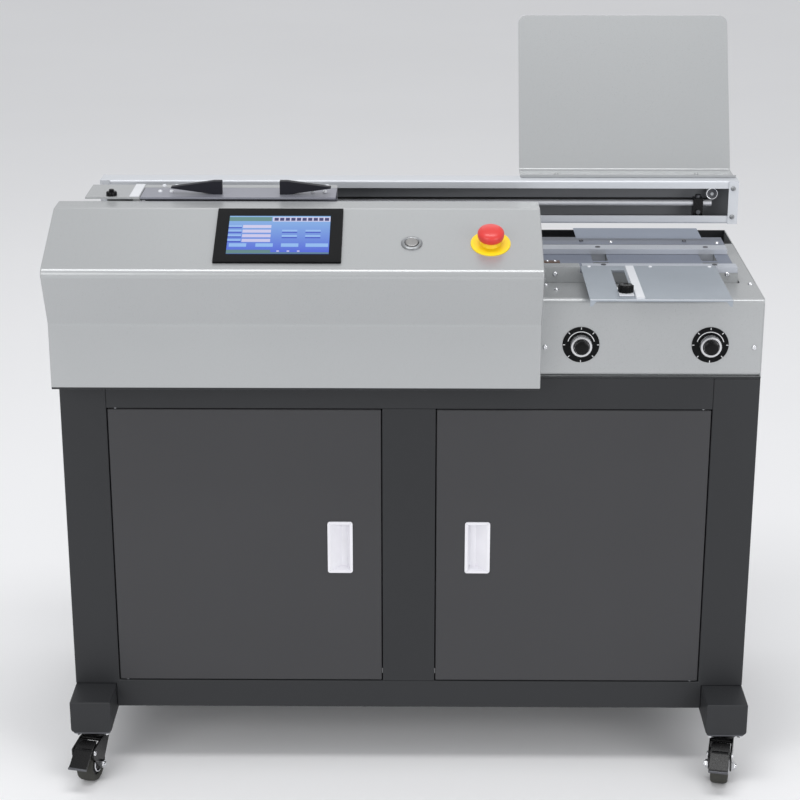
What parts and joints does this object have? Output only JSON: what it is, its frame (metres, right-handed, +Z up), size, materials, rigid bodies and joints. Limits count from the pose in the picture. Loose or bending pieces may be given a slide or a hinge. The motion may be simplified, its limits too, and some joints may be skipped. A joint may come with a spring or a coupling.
{
  "type": "perfect binding machine",
  "caption": "Floor-standing perfect binder: charcoal cabinet on casters, sloped control console, clamp carriage on a beam, cover nip station and document tray.",
  "frame": {"origin": "floor level, centre of the footprint", "axes": "+X machine's right, -Y front, +Z up"},
  "size_m": [1.0906, 0.5701, 1.1682],
  "materials": {
    "charcoal_paint": "satin powder coat",
    "silver_paint": "fine silver-grey paint",
    "table_aluminium": "satin anodised",
    "machined_steel": "machined",
    "chrome": "polished",
    "button_steel": "turned",
    "black_plastic": "fine texture",
    "black_metal": "black enamel",
    "black_rubber": "matte",
    "white_plastic": "moulded",
    "stop_yellow": "plain disc",
    "stop_red": "moulded",
    "screen_glass": "touch panel"
  },
  "bodies": {
    "frame": {"cabinet_frame": "charcoal_paint", "foot_beams": "charcoal_paint", "back_panel": "charcoal_paint", "power_inlet": "black_plastic", "deck_plate": "silver_paint", "hinge_pins": "machined_steel", "chip_bin": "table_aluminium", "console_cover": "silver_paint", "screen_bezel": "black_plastic", "screen_glass": "screen_glass", "power_button_ring": "chrome", "estop_base": "stop_yellow", "right_cover": "silver_paint", "dial_controls": "black_plastic", "beam_channel": "silver_paint", "beam_end_plates": "silver_paint", "beam_posts": "silver_paint", "guide_rod": "chrome", "rod_supports": "black_metal", "carriage_motor": "black_metal", "drive_belt": "black_rubber", "document_tray": "silver_paint", "nip_base": "silver_paint", "nip_guide_rods": "machined_steel", "rear_cover_table": "table_aluminium", "milling_motor": "black_metal", "glue_pot": "machined_steel", "cover_screws": "chrome", "caster_plates": "machined_steel"},
    "left_door": {"left_door": "charcoal_paint", "left_handle": "white_plastic"},
    "right_door": {"right_door": "charcoal_paint", "right_handle": "white_plastic"},
    "power_button": {"power_button": "button_steel"},
    "estop_stem": {"estop_stem": "black_plastic"},
    "estop_head": {"estop_mushroom": "stop_red"},
    "left_knob": {"left_knob": "chrome"},
    "right_knob": {"right_knob": "chrome"},
    "carriage": {"carriage_plate": "silver_paint"},
    "clamp_jaw": {"clamp_jaw": "silver_paint", "book_guides": "black_plastic"},
    "drive_pulley": {"drive_pulley": "machined_steel"},
    "idler_pulley": {"idler_pulley": "machined_steel"},
    "front_nip": {"front_nip_jaw": "machined_steel", "front_cover_table": "table_aluminium"},
    "side_gauge": {"side_gauge": "black_plastic"},
    "rear_nip": {"rear_nip_jaw": "machined_steel"},
    "milling_cutter": {"milling_cutter": "machined_steel"},
    "front_glue_roller": {"front_glue_roller": "machined_steel"},
    "rear_glue_roller": {"rear_glue_roller": "machined_steel"},
    "left_front_fork": {"left_front_fork": "black_metal"},
    "left_front_wheel": {"left_front_wheel": "black_rubber"},
    "left_brake_pedal": {"left_brake_pedal": "black_metal"},
    "right_front_fork": {"right_front_fork": "black_metal"},
    "right_front_wheel": {"right_front_wheel": "black_rubber"},
    "right_brake_pedal": {"right_brake_pedal": "black_metal"},
    "left_rear_fork": {"left_rear_fork": "black_metal"},
    "left_rear_wheel": {"left_rear_wheel": "black_rubber"},
    "right_rear_fork": {"right_rear_fork": "black_metal"},
    "right_rear_wheel": {"right_rear_wheel": "black_rubber"}
  },
  "joints": [
    {"name": "left_door_hinge", "type": "hinge", "parent": "frame", "child": "left_door", "pos_m": [-0.4595, -0.17, 0.3865], "axis": [0, 0, -1], "range_deg": [0, 100]},
    {"name": "right_door_hinge", "type": "hinge", "parent": "frame", "child": "right_door", "pos_m": [0.4595, -0.17, 0.3865], "axis": [0, 0, 1], "range_deg": [0, 100]},
    {"name": "power_button_push", "type": "slide", "parent": "frame", "child": "power_button", "axis": [0, 0.3962, -0.9182], "range_m": [0, 0.003], "stiffness_N_per_m": 1500, "springref_m": -0.002},
    {"name": "estop_push", "type": "slide", "parent": "frame", "child": "estop_stem", "axis": [0, 0.3962, -0.9182], "range_m": [0, 0.006]},
    {"name": "estop_twist", "type": "hinge", "parent": "estop_stem", "child": "estop_head", "pos_m": [0.122, -0.21289, 0.89753], "axis": [0, -0.3962, 0.9182], "range_deg": [0, 45]},
    {"name": "left_dial_turn", "type": "hinge", "parent": "frame", "child": "left_knob", "pos_m": [0.265, -0.187, 0.728], "axis": [0, -1, 0], "range_deg": [-150, 150]},
    {"name": "right_dial_turn", "type": "hinge", "parent": "frame", "child": "right_knob", "pos_m": [0.464, -0.187, 0.728], "axis": [0, -1, 0], "range_deg": [-150, 150]},
    {"name": "carriage_slide", "type": "slide", "parent": "frame", "child": "carriage", "axis": [1, 0, 0], "range_m": [0, 0.6]},
    {"name": "clamp_open", "type": "slide", "parent": "carriage", "child": "clamp_jaw", "axis": [0, -1, 0], "range_m": [0, 0.045]},
    {"name": "drive_pulley_turn", "type": "hinge", "parent": "frame", "child": "drive_pulley", "pos_m": [-0.478, 0.113, 0.89975], "axis": [0, 1, 0], "continuous": true},
    {"name": "idler_pulley_turn", "type": "hinge", "parent": "frame", "child": "idler_pulley", "pos_m": [0.497, 0.113, 0.89975], "axis": [0, 1, 0], "continuous": true},
    {"name": "front_nip_close", "type": "slide", "parent": "frame", "child": "front_nip", "axis": [0, 1, 0], "range_m": [0, 0.04]},
    {"name": "rear_nip_close", "type": "slide", "parent": "frame", "child": "rear_nip", "axis": [0, -1, 0], "range_m": [0, 0.04]},
    {"name": "side_gauge_slide", "type": "slide", "parent": "front_nip", "child": "side_gauge", "axis": [0, 1, 0], "range_m": [0, 0.1]},
    {"name": "cutter_spin", "type": "hinge", "parent": "frame", "child": "milling_cutter", "pos_m": [-0.045, -0.014, 0.8265], "axis": [0, 0, 1], "continuous": true},
    {"name": "front_roller_spin", "type": "hinge", "parent": "frame", "child": "front_glue_roller", "pos_m": [0.085, -0.014, 0.8045], "axis": [0, 1, 0], "continuous": true},
    {"name": "rear_roller_spin", "type": "hinge", "parent": "frame", "child": "rear_glue_roller", "pos_m": [0.141, -0.014, 0.8045], "axis": [0, 1, 0], "continuous": true},
    {"name": "left_front_swivel", "type": "hinge", "parent": "frame", "child": "left_front_fork", "pos_m": [-0.512, -0.207, 0.076], "axis": [0, 0, 1], "continuous": true},
    {"name": "left_front_roll", "type": "hinge", "parent": "left_front_fork", "child": "left_front_wheel", "pos_m": [-0.51781, -0.23029, 0.03], "axis": [-0.9703, 0.2419, 0], "continuous": true},
    {"name": "left_brake", "type": "hinge", "parent": "left_front_fork", "child": "left_brake_pedal", "pos_m": [-0.52361, -0.25357, 0.061], "axis": [0.9703, -0.2419, 0], "range_deg": [0, 12]},
    {"name": "right_front_swivel", "type": "hinge", "parent": "frame", "child": "right_front_fork", "pos_m": [0.512, -0.207, 0.076], "axis": [0, 0, 1], "continuous": true},
    {"name": "right_front_roll", "type": "hinge", "parent": "right_front_fork", "child": "right_front_wheel", "pos_m": [0.50701, -0.23048, 0.03], "axis": [-0.9781, 0.2079, 0], "continuous": true},
    {"name": "right_brake", "type": "hinge", "parent": "right_front_fork", "child": "right_brake_pedal", "pos_m": [0.50202, -0.25395, 0.061], "axis": [0.9781, -0.2079, 0], "range_deg": [0, 12]},
    {"name": "left_rear_swivel", "type": "hinge", "parent": "frame", "child": "left_rear_fork", "pos_m": [-0.512, 0.249, 0.076], "axis": [0, 0, 1], "continuous": true},
    {"name": "left_rear_roll", "type": "hinge", "parent": "left_rear_fork", "child": "left_rear_wheel", "pos_m": [-0.51617, 0.22537, 0.03], "axis": [-0.9848, 0.1736, 0], "continuous": true},
    {"name": "right_rear_swivel", "type": "hinge", "parent": "frame", "child": "right_rear_fork", "pos_m": [0.512, 0.249, 0.076], "axis": [0, 0, 1], "continuous": true},
    {"name": "right_rear_roll", "type": "hinge", "parent": "right_rear_fork", "child": "right_rear_wheel", "pos_m": [0.51862, 0.22593, 0.03], "axis": [-0.9613, -0.2756, 0], "continuous": true}
  ],
  "couplings": [
    {"joint": "drive_pulley_turn", "follows": "carriage_slide", "rad_per_m": 109.89},
    {"joint": "idler_pulley_turn", "follows": "carriage_slide", "rad_per_m": 109.89},
    {"joint": "rear_nip_close", "follows": "front_nip_close", "ratio": 1},
    {"joint": "rear_roller_spin", "follows": "front_roller_spin", "ratio": 1}
  ]
}
